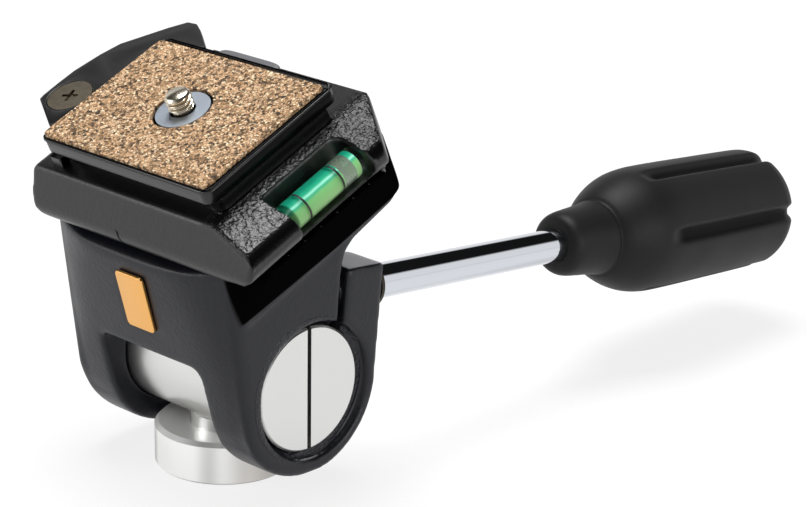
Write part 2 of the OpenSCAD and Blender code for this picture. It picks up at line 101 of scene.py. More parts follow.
def on_handle(points):
    """The same for the handle, whose axes lean back by the clamp's lean and start on the rod's line."""
    offset = np.array([HANDLE_X, 0, HANDLE_RISE])
    return ((np.asarray(points, float) + offset) @ handle_axes.T + tilt_centre) * MM


print("handle points along", handle_axes[:, 1].round(4))

# %% [markdown]
# Every added piece is a grid of points worked out by a formula. A grid that is closed both ways is a
# ring or tube, and one that is closed one way has caps or runs into a pole. The helper below turns
# such a grid into a mesh in one step, because building faces one at a time is slow and hard to read.

# %% Turn a grid of points into a mesh
def grid_faces(rows, cols, wrap_rows=False, wrap_cols=False):
    """Quads between neighbours i, i+1 and j, j+1 of a rows by cols grid, joined round where asked."""
    i = np.arange(rows if wrap_rows else rows - 1)
    j = np.arange(cols if wrap_cols else cols - 1)
    i, j = np.meshgrid(i, j, indexing="ij")
    i2, j2 = (i + 1) % rows, (j + 1) % cols
    quads = np.stack([i * cols + j, i2 * cols + j, i2 * cols + j2, i * cols + j2], axis=-1)
    return quads.reshape(-1, 4)


def fan(rim, pole):
    """Triangles from each edge of a closed rim to a pole; a reversed rim turns them round."""
    return np.stack([rim, np.roll(rim, -1), np.full(len(rim), pole)], axis=-1).tolist()


def placed(name, data):
    """An object of some data at the origin, linked to the scene."""
    thing = bpy.data.objects.new(name, data)
    bpy.context.scene.collection.objects.link(thing)
    return thing


def new_piece(name, points, faces):
    """A smooth mesh object from an array of points in metres and a list of faces."""
    mesh = bpy.data.meshes.new(name)
    mesh.from_pydata(np.asarray(points).reshape(-1, 3).tolist(), [], [tuple(f) for f in faces])
    mesh.validate()
    mesh.shade_smooth()
    return placed(name, mesh)


def face_outwards(mesh):
    """Turns the faces of a mesh outwards."""
    shape = bmesh.new()
    shape.from_mesh(mesh)
    bmesh.ops.recalc_face_normals(shape, faces=shape.faces)
    shape.to_mesh(mesh)
    shape.free()


def revolve(profile, turns=96):
    """A closed profile of (height, radius) pairs carried round the Y axis: x = r cos a, z = r sin a."""
    angle = np.linspace(0, 2 * math.pi, turns, endpoint=False)[:, None]
    height = np.broadcast_to(profile[:, 0], (turns, len(profile)))
    radius = profile[:, 1]
    return np.stack([radius * np.cos(angle), height, radius * np.sin(angle)], axis=-1)

# %% [markdown]
# The yoke and the platform are die castings, and no edge of a casting is sharp: the mould leaves a
# radius and the enamel softens it further, inside corners included. Rounding edges one by one fails
# where three or four of them meet, so the whole skin is resampled as small even squares, and each
# point is moved towards the middle of its neighbours a few times. Edges relax the most and flats stay.

# %% Read and relax a skin
WELD = 0.01 * MM  # corners nearer than this are the same corner


def merged_copy(node, name):
    """A copy of a solid's mesh whose loose triangles share their corners."""
    mesh = nodes[node].data.copy()
    mesh.name = name
    shape = bmesh.new()
    shape.from_mesh(mesh)
    bmesh.ops.remove_doubles(shape, verts=shape.verts, dist=WELD)
    bmesh.ops.recalc_face_normals(shape, faces=shape.faces)
    shape.to_mesh(mesh)
    shape.free()
    mesh.materials.clear()
    return mesh


def corners(mesh):
    """All corner points of a mesh as one array."""
    points = np.empty(len(mesh.vertices) * 3)
    mesh.vertices.foreach_get("co", points)
    return points.reshape(-1, 3)


def relaxed(points, edges, rounds, share):
    """Each round moves a point its share of the way to the mean of its neighbours."""
    a, b = edges.T
    count = np.bincount(edges.ravel(), minlength=len(points))[:, None]
    for _ in range(rounds):
        total = np.stack([np.bincount(a, points[b, k], len(points))
                          + np.bincount(b, points[a, k], len(points)) for k in range(3)], axis=-1)
        points = points + share[:, None] * (total / count - points)
    return points


def level(points):
    """Metres in the scene back to millimetres in the head's level axes."""
    return (points / MM - tilt_centre) @ head_axes


def casting(name, node, body, grid, rounds, share, shape_of=None, fit=None):
    """A solid's skin on a grid in millimetres, shaped, relaxed by share(points) and fitted."""
    piece = placed(name, merged_copy(node, name))
    remesh = piece.modifiers.new("even squares", "REMESH")
    remesh.mode = "VOXEL"
    remesh.voxel_size = grid * MM
    seen = piece.evaluated_get(bpy.context.evaluated_depsgraph_get())
    mesh = bpy.data.meshes.new_from_object(seen)
    piece.modifiers.clear()
    piece.data = mesh
    mesh.name = name
    points = corners(mesh)
    edges = np.empty(len(mesh.edges) * 2, dtype=np.int64)
    mesh.edges.foreach_get("vertices", edges)
    if shape_of:
        points = on_head(shape_of(level(points)))
    points = relaxed(points, edges.reshape(-1, 2), rounds, share(level(points)))
    if fit:
        points = on_head(fit(level(points)))
    mesh.vertices.foreach_set("co", points.ravel())
    mesh.shade_smooth()
    mesh.update()
    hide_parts(node)
    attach(piece, body)
    print(name, len(mesh.polygons), "faces")
    return piece


def between(value, low, high):
    """0 below low, 1 above high, and a smooth rise between."""
    t = np.clip((value - low) / (high - low), 0, 1)
    return t * t * (3 - 2 * t)

# %% [markdown]
# The front of the yoke is one flowing surface: a leaning flat that runs out into a bowed skin. Where
# the two meet, the solid has a faint crease, so points near it are drawn in by a smooth maximum,
# which is a little above the larger of two numbers where they are nearly the same. The front is also
# relaxed the most. The clamp ear, the slit and the ring round the barrel are relaxed less.

# %% Cast the yoke and the platform
# How far out the flat and the bow of the front lie, how they lean, and the bow's radius, as in the solid.
FLAT_OUT, FLAT_LEAN = 21.6, math.radians(8.6)
BOW_OUT, BOW_LEAN, BOW_R = 30.0, math.radians(16.7), 60.0


def blended_front(p, reach=2.4):
    """Depth of the flat and of the bow at (x, z), and their smooth maximum for points that lie there."""
    x, y, z = p.T
    flat = z * math.tan(FLAT_LEAN) - FLAT_OUT
    bow = BOW_R - np.sqrt(np.maximum(BOW_R ** 2 - x ** 2, 0))
    skin = (bow + z * math.sin(BOW_LEAN)) / math.cos(BOW_LEAN) - BOW_OUT
    gap = flat - skin
    smooth = 0.5 * (flat + skin + np.sqrt(gap ** 2 + reach ** 2)) - np.maximum(flat, skin)
    near = 1 - between(np.abs(y - np.maximum(flat, skin)), 0.5, 1.2)
    inside = 1 - between(np.abs(x), 27.5, 30)
    moved = p.copy()
    moved[:, 1] += smooth * near * inside * between(z, -14, -4)
    return moved


def bored(p, bore=15.36):
    """The bore is cut after casting: a point inside it moves straight out to its wall."""
    far = np.hypot(p[:, 1], p[:, 2])
    grown = np.where(far < bore, bore / np.maximum(far, 1.0), 1.0)
    return p * np.stack([np.ones_like(far), grown, grown], axis=-1)


def yoke_softness(p):
    """The front relaxes the most, and the ring round the barrel's end the least."""
    front = 1 - between(p[:, 1], -9, -3)
    ring = 1 - between(np.hypot(p[:, 1], p[:, 2]), 18.2, 19.6)
    outside = between(p[:, 0], 27.4, 28.2)
    return 0.22 + 0.34 * front * (1 - ring * outside)


def platform_softness(p):
    """The vial's pocket keeps crisper edges than the rest."""
    across, along = np.abs(p[:, :2] - VIAL[:2]).T
    return 0.42 - 0.22 * (1 - between(across, 5.2, 6.4)) * (1 - between(along, 13, 14.5))


yoke = casting("yoke_casting", "yoke", "yoke", 0.55, 16, yoke_softness, blended_front, bored)
platform = casting("platform_casting", "platform", "yoke", 0.5, 9, platform_softness)

# %% [markdown]
# The lever is pressed and the plate is moulded, both with crisp, even edges. A narrow bevel is right
# for them, once the loose triangles are merged and the flat faces are whole again.

# %% Soften the lever and the plate
def edged(name, node, body, radius, angle=24):
    """A merged copy of one solid with its edges rounded to a radius in millimetres."""
    mesh = merged_copy(node, name)
    shape = bmesh.new()
    shape.from_mesh(mesh)
    bmesh.ops.dissolve_limit(shape, angle_limit=math.radians(0.4), verts=shape.verts, edges=shape.edges)
    shape.to_mesh(mesh)
    shape.free()
    mesh.shade_smooth()
    piece = placed(name, mesh)
    bevel = piece.modifiers.new("soft edges", "BEVEL")
    bevel.width = radius * MM
    bevel.segments = 3
    bevel.limit_method = "ANGLE"
    bevel.angle_limit = math.radians(angle)
    bevel.use_clamp_overlap = False
    bevel.miter_outer = "MITER_ARC"
    bevel.harden_normals = True
    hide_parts(node)
    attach(piece, body)
    print(name, len(mesh.polygons), "faces before its bevel")
    return piece


lever = edged("lever_casting", "release_lever", "lever", 0.4)
plate = edged("plate_moulding", "release_plate", "plate", 0.6)

# %% [markdown]
# Finishes come next. Each one is a small network of nodes, so helpers keep them readable: one
# turns a hex colour, as picked from a colour chart, into the linear values that light needs, and one
# adds a node with its settings and its links. A third plugs values or other nodes into a node.

# %% Colour and node helpers
def linear(hex_colour):
    """sRGB hex to linear: c / 12.92 below 0.04045, else ((c + 0.055) / 1.055) to the power 2.4."""
    srgb = [int(hex_colour[i:i + 2], 16) / 255 for i in (1, 3, 5)]
    return [c / 12.92 if c <= 0.04045 else ((c + 0.055) / 1.055) ** 2.4 for c in srgb] + [1.0]


def plug(node, **links):
    """Sets inputs, by name or as _number, to values or outputs. A node stands for its first live output."""
    for key, value in links.items():
        socket = node.inputs[int(key[1:]) if key[0] == "_" else key.replace("_", " ")]
        if isinstance(value, bpy.types.Node):
            value = next(output for output in value.outputs if output.enabled)
        if isinstance(value, bpy.types.NodeSocket):
            node.id_data.links.new(value, socket)
        else:
            socket.default_value = value
    return node


def add(tree, kind, stops=(), **wanted):
    """One node of a kind: lower-case words are settings, other words inputs, and stops a ramp's colours."""
    node = tree.nodes.new("ShaderNode" + kind)
    settings = [key for key in wanted if key[0].islower()]
    for key in settings:
        setattr(node, key, wanted[key])
    for place, _ in stops[2:]:
        node.color_ramp.elements.new(place)
    for element, (place, shade) in zip(node.color_ramp.elements if stops else (), stops):
        element.position, element.color = place, linear(shade)
    return plug(node, **{key: value for key, value in wanted.items() if key not in settings})


def finish(name, colour, roughness, metallic=0.0, ior=1.5):
    """A new material named for what the real surface is, with its plain values on the shader."""
    material = bpy.data.materials.new(name)
    material.use_nodes = True
    tree = material.node_tree
    shader = tree.nodes["Principled BSDF"]
    plug(shader, Base_Color=linear(colour), Roughness=roughness, Metallic=metallic)
    if not metallic:
        plug(shader, IOR=ior)
    return material, tree, shader


def paint(piece, material):
    """Puts one finish on a whole piece."""
    if len(piece.material_slots) == 0:
        piece.data.materials.append(material)
    for slot in piece.material_slots:
        slot.link = "OBJECT" if "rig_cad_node" in piece else "DATA"
        slot.material = material

# %% [markdown]
# Satin enamel on a die casting: a black powder coat about a tenth of a millimetre thick, which flows
# a little as it cures and leaves an orange-peel skin with waves near a millimetre. It gives the eye
# soft, broken highlights. Noise at two sizes draws the waves and a finer grit, and a third, large
# and weak, keeps the gloss from being even. The hollow under the flare is drawn near black and
# without shine: painted shade. The top of the clamp's ear is drawn light grey: painted light from
# above. The recess round the barrel's end is left as cast, so its wall is lumpy under the coat.

# %% Satin enamel
SATIN_SHINE = 0.36


def satin_enamel(name, colour="#0d0d0e", waves=1.1, depth=0.09, roughness=0.4):
    """Waves are the size of the orange peel in millimetres, and depth is how deep they are."""
    material, tree, shader = finish(name, colour, roughness)
    where = add(tree, "TexCoord").outputs["Object"]
    peel = add(tree, "TexNoise", Vector=where, Scale=1 / (waves * MM), Detail=2.0)
    grit = add(tree, "TexNoise", Vector=where, Scale=1 / (0.3 * waves * MM), Detail=1.0)
    both = add(tree, "Math", operation="MULTIPLY_ADD", _0=grit, _1=0.3, _2=peel)
    skin = add(tree, "Bump", Height=both, Distance=depth * MM)
    patch = add(tree, "TexNoise", Vector=where, Scale=1 / (9 * MM), Detail=2.0)
    gloss = add(tree, "MapRange", Value=patch, To_Min=roughness - 0.06, To_Max=roughness + 0.08)
    plug(shader, Normal=skin, Roughness=gloss, Specular_IOR_Level=SATIN_SHINE)
    return material


def painted_shade(material, mask, shine, colour, shade_colour="#050505", left=0.0):
    """Painted shade: where the mask is 1 the shine falls to the value left and the colour to shade_colour.
    """
    tree = material.node_tree
    shader = tree.nodes["Principled BSDF"]
    gloss = add(tree, "MapRange", Value=mask, To_Min=shine, To_Max=left)
    mixed = add(tree, "Mix", data_type="RGBA", Factor=mask, _6=linear(colour), _7=linear(shade_colour))
    plug(shader, Specular_IOR_Level=gloss, Base_Color=mixed)


def beyond(tree, where, direction, start, soft):
    """0 to 1 as a point passes start millimetres along a direction of the head, over soft millimetres."""
    way = head_axes @ np.array(direction, float)
    offset = float(way @ tilt_centre)
    along = add(tree, "VectorMath", operation="DOT_PRODUCT", _0=where, _1=tuple(way))
    return add(tree, "MapRange", Value=along, From_Min=(start + offset) * MM,
               From_Max=(start + soft + offset) * MM)


body_coat = satin_enamel("satin powder coat on die-cast aluminium")
tree = body_coat.node_tree
shader = tree.nodes["Principled BSDF"]
place = add(tree, "TexCoord")
where = place.outputs["Object"]
# Painted shade: in the hollow under the flare the colour falls near black and the shine to nothing.
outward = beyond(tree, where, (1, 0, 0.13), 33.7, 0.5)
above = beyond(tree, where, (-0.734, 0.044, 1), 5.5, 0.4)
painted_shade_under_flare = add(tree, "Math", operation="MULTIPLY", _0=outward, _1=above)
painted_shade(body_coat, painted_shade_under_flare, SATIN_SHINE, "#0d0e17")
# Painted light: faces of the clamp's ear that look up along the handle's axes are mixed towards light grey.
facing = add(tree, "VectorMath", operation="DOT_PRODUCT", _0=place.outputs["Normal"],
             _1=tuple(handle_axes[:, 2]))
on_top = add(tree, "MapRange", Value=facing, From_Min=0.88, From_Max=0.97)
ear = beyond(tree, where, (1, 0, 0), 18.5, 0.5)
painted_light = add(tree, "Math", operation="MULTIPLY", _0=on_top, _1=ear)
lighter = add(tree, "Mix", data_type="RGBA", Factor=painted_light,
              _6=shader.inputs["Base Color"].links[0].from_socket, _7=linear("#c8c8cc"))
plug(shader, Base_Color=lighter)
from_origin = add(tree, "VectorMath", operation="CROSS_PRODUCT", _0=where, _1=(1.0, 0.0, 0.0))
from_axis = add(tree, "VectorMath", operation="SUBTRACT", _0=from_origin, _1=(0.0, TILT_HEIGHT * MM, 0.0))
far = add(tree, "VectorMath", operation="LENGTH", _0=from_axis)
inside = add(tree, "MapRange", Value=far, From_Min=17.9 * MM, From_Max=17.5 * MM)
recess = add(tree, "Math", operation="MULTIPLY", _0=inside, _1=beyond(tree, where, (1, 0, 0), 22, 1))
lumps = add(tree, "TexNoise", Vector=where, Scale=1 / (0.9 * MM), Detail=1.0)
lumps = add(tree, "Math", operation="MULTIPLY", _0=lumps, _1=recess)
bump = shader.inputs["Normal"].links[0].from_node
rough_cast = add(tree, "Math", operation="MULTIPLY_ADD", _0=lumps, _1=5.0,
                 _2=bump.inputs["Height"].links[0].from_socket)
plug(bump, Height=rough_cast)
paint(yoke, body_coat)
paint(lever, satin_enamel("satin enamel on a pressed lever", waves=0.7, depth=0.015))

# %% [markdown]
# The platform's upper shoulder has a wrinkle finish: a coat whose skin dries first and shrivels into
# ridges about a millimetre apart, while the sides below it stay smooth. One material does both, with
# a mask made from the height along the head's own upward axis and from how far the skin faces up.
# A short engraved line on the front marks the middle of the lens, and it is drawn in the same way:
# by the distance from a plane, between two heights.

# %% Wrinkle enamel on the shoulder
def wrinkle_enamel(name, colour="#0d0d0e", roughness=0.36, shine=0.5):
    """Wrinkles = cells bent by noise, times a mask, over the same orange peel as the yoke's."""
    material, tree, shader = finish(name, colour, roughness)
    place = add(tree, "TexCoord")
    where = place.outputs["Object"]
    facing = add(tree, "VectorMath", operation="DOT_PRODUCT", _0=place.outputs["Normal"],
                 _1=tuple(head_axes[:, 2]))
    upward = add(tree, "MapRange", Value=facing, From_Min=0.6, From_Max=0.78)
    high = beyond(tree, where, (0, 0, 1), DECK - 8, 2)
    inner = beyond(tree, where, (1, 0, 0), 26.0, 2)
    outer = beyond(tree, where, (-1, 0, 0), -41.8, 0.8)
    on_shoulder = add(tree, "Math", operation="MULTIPLY", _0=inner, _1=outer)
    mask = add(tree, "Math", operation="MULTIPLY", _0=high, _1=upward)
    mask = add(tree, "Math", operation="MULTIPLY", _0=mask, _1=on_shoulder)
    bend = add(tree, "TexNoise", Vector=where, Scale=1 / (1.4 * MM), Detail=2.0)
    bent = add(tree, "VectorMath", operation="MULTIPLY_ADD", _0=bend.outputs["Color"],
               _1=(0.0012, 0.0012, 0.0012), _2=where)
    cells = add(tree, "TexVoronoi", feature="SMOOTH_F1", Vector=bent, Scale=1 / (1.1 * MM), Smoothness=0.5)
    crumple = add(tree, "TexNoise", Vector=bent, Scale=1 / (0.85 * MM), Detail=1.0, Roughness=0.5)
    ridges = add(tree, "Math", operation="MULTIPLY_ADD", _0=crumple, _1=2.4,
                 _2=cells)
    ridges = add(tree, "Math", operation="MULTIPLY", _0=ridges, _1=0.26)
    strong = add(tree, "Math", operation="MULTIPLY", _0=ridges, _1=mask)
    peel = add(tree, "TexNoise", Vector=where, Scale=1 / (1.0 * MM), Detail=2.0)
    relief = add(tree, "Math", operation="MULTIPLY_ADD", _0=peel, _1=0.16, _2=strong)
    slant = head_axes @ np.array([1, 0, 0.31])
    along = add(tree, "VectorMath", operation="DOT_PRODUCT", _0=where, _1=tuple(slant))
    middle = float(slant @ on_head([[-1.6, 0, 47.4]])[0])
    beside = add(tree, "Math", operation="SUBTRACT", _0=along, _1=middle)
    apart = add(tree, "Math", operation="ABSOLUTE", _0=beside)
    line = add(tree, "MapRange", Value=apart, From_Min=0.24 * MM, From_Max=0.46 * MM, To_Min=1.0,
               To_Max=0.0)
    low_end = beyond(tree, where, (0, 0, -1), -47.8, 0.5)
    forward = add(tree, "VectorMath", operation="DOT_PRODUCT", _0=place.outputs["Normal"],
                  _1=tuple(-head_axes[:, 1]))
    front = add(tree, "MapRange", Value=forward, From_Min=0.3, From_Max=0.5)
    mark = add(tree, "Math", operation="MULTIPLY", _0=line, _1=low_end)
    mark = add(tree, "Math", operation="MULTIPLY", _0=mark, _1=front)
    carved = add(tree, "Math", operation="MULTIPLY_ADD", _0=mark, _1=-1.2, _2=relief)
    skin = add(tree, "Bump", Height=carved, Distance=0.5 * MM)
    gloss = add(tree, "MapRange", Value=mask, To_Min=roughness, To_Max=0.31)
    plug(shader, Normal=skin, Roughness=gloss)
    # Painted shade: the engraved line, the jaw above the deck beside the plate and the shoulder's outer
    # bevel are drawn near black and lose their shine.
    jaw = beyond(tree, where, (0, 0, 1), DECK + 0.1, 0.3)
    dark = add(tree, "Math", operation="MAXIMUM", _0=mark, _1=jaw)
    slope = add(tree, "VectorMath", operation="DOT_PRODUCT", _0=place.outputs["Normal"],
                _1=tuple(head_axes @ np.array([0.71, 0, 0.71])))
    bevel = add(tree, "MapRange", Value=slope, From_Min=0.86, From_Max=0.95)
    edge = add(tree, "Math", operation="MULTIPLY", _0=bevel, _1=beyond(tree, where, (1, 0, 0), 41.0, 0.8))
    dark = add(tree, "Math", operation="MAXIMUM", _0=dark, _1=edge)
    # Painted shade: the whole wrinkled shoulder is partly darkened, more towards the rear.
    rear = beyond(tree, where, (0, 1, 0), 12.0, 14)
    wear_and_painted_shade = add(tree, "Math", operation="MULTIPLY_ADD", _0=rear, _1=0.3, _2=0.28)
    duller = add(tree, "Math", operation="MULTIPLY", _0=mask, _1=wear_and_painted_shade)
    dark = add(tree, "Math", operation="MAXIMUM", _0=dark, _1=duller)
    painted_shade(material, dark, shine, colour, "#030303", 0.06)
    return material


paint(platform, wrinkle_enamel("wrinkle and satin powder coat on die-cast aluminium"))

# %% [markdown]
# Behind the plate a low cast lug stands on the platform, the width of two fingers. It is a rounded
# block: the sine and cosine of a sphere, raised to a small power, press the sphere out towards a box.

# %% The rear lug
def rounded_block(centre, half, power=0.3, rows=48, cols=96):
    """x, y, z = half sizes times signed powers of the sphere's cosines and sines, closed at both poles."""
    def pressed(v):
        return np.sign(v) * np.abs(v) ** power
    up = np.linspace(-math.pi / 2, math.pi / 2, rows + 2)[1:-1, None]
    turn = np.linspace(0, 2 * math.pi, cols, endpoint=False)[None, :]
    x, y = pressed(np.cos(up)) * pressed(np.cos(turn)), pressed(np.cos(up)) * pressed(np.sin(turn))
    z = np.broadcast_to(pressed(np.sin(up)), x.shape)
    grid = np.stack([x, y, z], axis=-1).reshape(-1, 3)
    points = np.vstack([grid, [[0, 0, -1], [0, 0, 1]]]) * half + centre
    rim, pole = np.arange(cols), rows * cols
    faces = grid_faces(rows, cols, wrap_cols=True)[:, ::-1].tolist()
    return points, faces + fan(rim[::-1], pole) + fan(rim + pole - cols, pole + 1)


lug_points, lug_faces = rounded_block([-8.8, 40.1, 54.6], [10.6, 4.0, 1.8])
lug = new_piece("platform_rear_lug", on_head(lug_points), lug_faces)
# Painted light: the lug is a mid grey rather than the black of the coat round it, for the light on its top.
paint(lug, satin_enamel("satin powder coat on a milled lug", "#5c5c5f", roughness=0.5))
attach(lug, "yoke")
print("lug faces", len(lug_faces))

# %% [markdown]
# The release plate is moulded in glass-filled nylon, which leaves a fine even spark pattern, and the
# grip in a matt rubber. Both are one noise, at the size of the mould's texture. The plate's right
# side, which faces the jaw, is drawn nearly black and without shine: painted shade.

# %% Moulded nylon and rubber
def moulded(name, colour, grain, depth, roughness):
    """Grain is the size of the mould's texture in millimetres, drawn about twice as coarse as real."""
    material, tree, shader = finish(name, colour, roughness, ior=1.53)
    where = add(tree, "TexCoord").outputs["Object"]
    spark = add(tree, "TexNoise", Vector=where, Scale=1 / (grain * MM), Detail=2.0)
    skin = add(tree, "Bump", Height=spark, Distance=depth * MM)
    patch = add(tree, "TexNoise", Vector=where, Scale=1 / (12 * MM), Detail=3.0)
    gloss = add(tree, "MapRange", Value=patch, To_Min=roughness - 0.05, To_Max=roughness + 0.07)
    plug(shader, Normal=skin, Roughness=gloss)
    return material


NYLON_BLACK = "#0a0a0b"
nylon = moulded("spark-textured black nylon", NYLON_BLACK, grain=0.35, depth=0.008, roughness=0.22)
tree = nylon.node_tree
# Painted shade on the plate's right side: faces that look along x are drawn nearly black without shine.
facing = add(tree, "SeparateXYZ", Vector=add(tree, "TexCoord").outputs["Normal"]).outputs["X"]
painted_shade_right_side = add(tree, "MapRange", Value=facing, From_Min=0.85, From_Max=0.97)
painted_shade(nylon, painted_shade_right_side, 0.5, NYLON_BLACK, "#030304", 0.07)
for piece in (plate, nodes["plate_foot"], nodes["plate_stop"]):
    paint(piece, nylon)

# %% [markdown]
# Agglomerated cork is made of granules under a millimetre across, pressed with a binder. Each granule
# has its own tan, some are pale, and the gaps between them are dark. A cell pattern gives one colour
# to each granule, and the distance to the cell's edge darkens the joints and sinks them.

# %% Agglomerated cork
def cork(name, granule=0.62):
    """Colour = the granule's own tan times a dark joint times a fine speckle."""
    material, tree, shader = finish(name, "#b98c66", 0.85, ior=1.45)
    where = add(tree, "TexCoord").outputs["Object"]
    wobble = add(tree, "TexNoise", Vector=where, Scale=1 / (0.6 * MM), Detail=2.0)
    bent = add(tree, "VectorMath", operation="MULTIPLY_ADD", _0=wobble.outputs["Color"],
               _1=(0.0006, 0.0006, 0.0006), _2=where)
    cells = add(tree, "TexVoronoi", feature="F1", Vector=bent, Scale=1 / (granule * MM))
    one = add(tree, "SeparateColor", Color=cells.outputs["Color"]).outputs["Red"]
    tans = add(tree, "ValToRGB", Fac=one, stops=[
        (0.0, "#2f2417"), (0.16, "#74593c"), (0.34, "#b08a60"), (0.6, "#d2a87e"), (0.82, "#e6c097"),
        (1.0, "#f6dfba")])
    edge = add(tree, "TexVoronoi", feature="DISTANCE_TO_EDGE", Vector=bent, Scale=1 / (granule * MM))
    joint = add(tree, "MapRange", Value=edge, From_Min=0.0, From_Max=0.22, To_Min=0.3)
    speck = add(tree, "TexNoise", Vector=where, Scale=1 / (0.4 * MM), Detail=2.0)
    grain = add(tree, "MapRange", Value=speck, From_Min=0.3, From_Max=0.7, To_Min=0.62,
                To_Max=1.18)
    dark = add(tree, "Math", operation="MULTIPLY", _0=joint, _1=grain)
    colour = add(tree, "VectorMath", operation="SCALE", Vector=tans, Scale=dark)
    height = add(tree, "Math", operation="MULTIPLY_ADD", _0=edge, _1=0.9, _2=one)
    skin = add(tree, "Bump", Height=height, Distance=0.2 * MM)
    plug(shader, Normal=skin, Base_Color=colour)
    return material


paint(nodes["cork_pad"], cork("agglomerated cork"))

# %% [markdown]
# The barrel and the base are turned from aluminium bar. A cutting tool leaves fine rings round the
# axis of the lathe, so the relief is a wave of the distance from that axis, stretched so that it
# shows. On flat ends it reads as a soft sheen and on the sides as faint lines. The side of the base
# carries upright bands of painted reflection, lighter and darker, which a ramp over the way the skin
# faces draws, and a painted shade darkens its lowest 0.6 mm. Its upper face and its chamfers are
# less metallic, so they scatter the light.

# %% Turned aluminium
def turned_aluminium(name, axis, centre, colour="#d6d6d4", roughness=0.3, pitch=0.3):
    """Rings round an axis: the noise reads only the distance from the axis and the place along it."""
    material, tree, shader = finish(name, colour, roughness, metallic=1.0)
    where = add(tree, "TexCoord").outputs["Object"]
    away = add(tree, "VectorMath", operation="SUBTRACT", _0=where, _1=centre)
    along = add(tree, "VectorMath", operation="DOT_PRODUCT", _0=away, _1=axis)
    beside = add(tree, "VectorMath", operation="CROSS_PRODUCT", _0=away, _1=axis)
    radius = add(tree, "VectorMath", operation="LENGTH", _0=beside)
    path = add(tree, "CombineXYZ", X=radius, Y=along, Z=0.0)
    rings = add(tree, "TexNoise", Vector=path, Scale=1 / (pitch * MM), Detail=3.0, Roughness=0.6)
    skin = add(tree, "Bump", Height=rings, Distance=0.006 * MM)
    cloud = add(tree, "TexNoise", Vector=where, Scale=1 / (6 * MM), Detail=2.0)
    gloss = add(tree, "MapRange", Value=cloud, To_Min=roughness - 0.05, To_Max=roughness + 0.08)
    plug(shader, Normal=skin, Roughness=gloss)
    return material


barrel_finish = turned_aluminium("turned aluminium barrel", (1, 0, 0), (0, 0, TILT_HEIGHT * MM))
base_finish, spindle_finish = (turned_aluminium(name, (0, 0, 1), (0, 0, 0), "#dededc")
                               for name in ("satin turned aluminium base", "satin turned spindle"))
BAND_WAY = (0.719, 0.695, 0.0)  # level, and square to the way that the photograph's camera looks
tree = base_finish.node_tree
place = add(tree, "TexCoord")
facing = place.outputs["Normal"]
sideways = add(tree, "VectorMath", operation="DOT_PRODUCT", _0=facing, _1=BAND_WAY)
across = add(tree, "MapRange", Value=sideways, From_Min=-1.0, From_Max=1.0)
# Painted reflection: upright bands, lighter and darker, by the way the side faces.
bands = add(tree, "ValToRGB", Fac=across, stops=[
    (0.0, "#9a9a99"), (0.05, "#f2f2f0"), (0.3, "#f6f6f5"), (0.42, "#d2d2d0"), (0.52, "#ececea"),
    (0.68, "#cfccc8"), (0.85, "#b9b5b0"), (1.0, "#a5a19c")])
bands.color_ramp.interpolation = "EASE"
height = add(tree, "SeparateXYZ", Vector=place.outputs["Object"]).outputs["Z"]
# Painted shade: the lowest 0.6 mm of the base is darker.
foot = add(tree, "MapRange", Value=height, From_Min=0.2 * MM, From_Max=0.6 * MM, To_Min=0.45)
side = add(tree, "VectorMath", operation="SCALE", Vector=bands, Scale=foot)
upward = add(tree, "SeparateXYZ", Vector=facing).outputs["Z"]
metal = add(tree, "MapRange", Value=upward, From_Min=0.2, From_Max=0.6, To_Min=1.0, To_Max=0.35)
plug(tree.nodes["Principled BSDF"], Base_Color=side, Metallic=metal)
for node, coat in (("barrel_front_half", barrel_finish), ("barrel_rear_half", barrel_finish),
                   ("base_disc", base_finish), ("pan_spindle", spindle_finish)):
    paint(nodes[node], coat)

# %% [markdown]
# The small metal parts: chrome on the rod, nickel on the camera screw, zinc on the washers, oiled
# black steel on the screws and a satin gold plate for the badge. The pan washer is plain acetal.

# %% Small metals
def plain_metal(name, colour, roughness, grain=1.2, depth=0.004):
    """A cloud of noise moves the gloss by a fifth and lifts the skin by depth millimetres."""
    material, tree, shader = finish(name, colour, roughness, metallic=1.0)
    where = add(tree, "TexCoord").outputs["Object"]
    cloud = add(tree, "TexNoise", Vector=where, Scale=1 / (grain * MM), Detail=3.0)
    skin = add(tree, "Bump", Height=cloud, Distance=depth * MM)
    gloss = add(tree, "MapRange", Value=cloud, To_Min=roughness * 0.8, To_Max=roughness * 1.25)
    plug(shader, Normal=skin, Roughness=gloss)
    return material


chrome = plain_metal("polished chrome plate", "#cfd2d8", 0.04, grain=14, depth=0.001)
nickel = plain_metal("warm nickel plate", "#d6cdba", 0.24, grain=0.8)
zinc = plain_metal("dull zinc plate", "#a3abb5", 0.45)
black_steel = plain_metal("oiled black steel", "#3f3b34", 0.42)
worn_steel = plain_metal("worn black steel", "#7a7162", 0.4)
acetal = finish("natural acetal washer", "#b9b9b4", 0.4)[0]
gold = plain_metal("satin gold plate", "#e9b168", 0.36, grain=0.5)
for node, coat in (("handle_rod", chrome), ("screw_washer", zinc), ("thrust_washer", black_steel),
                   ("platform_screws", black_steel), ("lever_pivot_screw", worn_steel),
                   ("pan_washer", acetal)):
    paint(nodes[node], coat)
badge = edged("badge_bare_plate", "badge_plate", "yoke", 0.2)
paint(badge, gold)

# %% [markdown]
# The camera screw is a quarter-inch thread with twenty turns to the inch. A helix is the same ridge
# at every height, only turned: the radius depends on the height minus the turn times the pitch.
# A rounded wave of that one number gives the crests and roots, and both ends fade to plain shank.
# The head below the plate is kept from the solid, cut off where the thread begins.

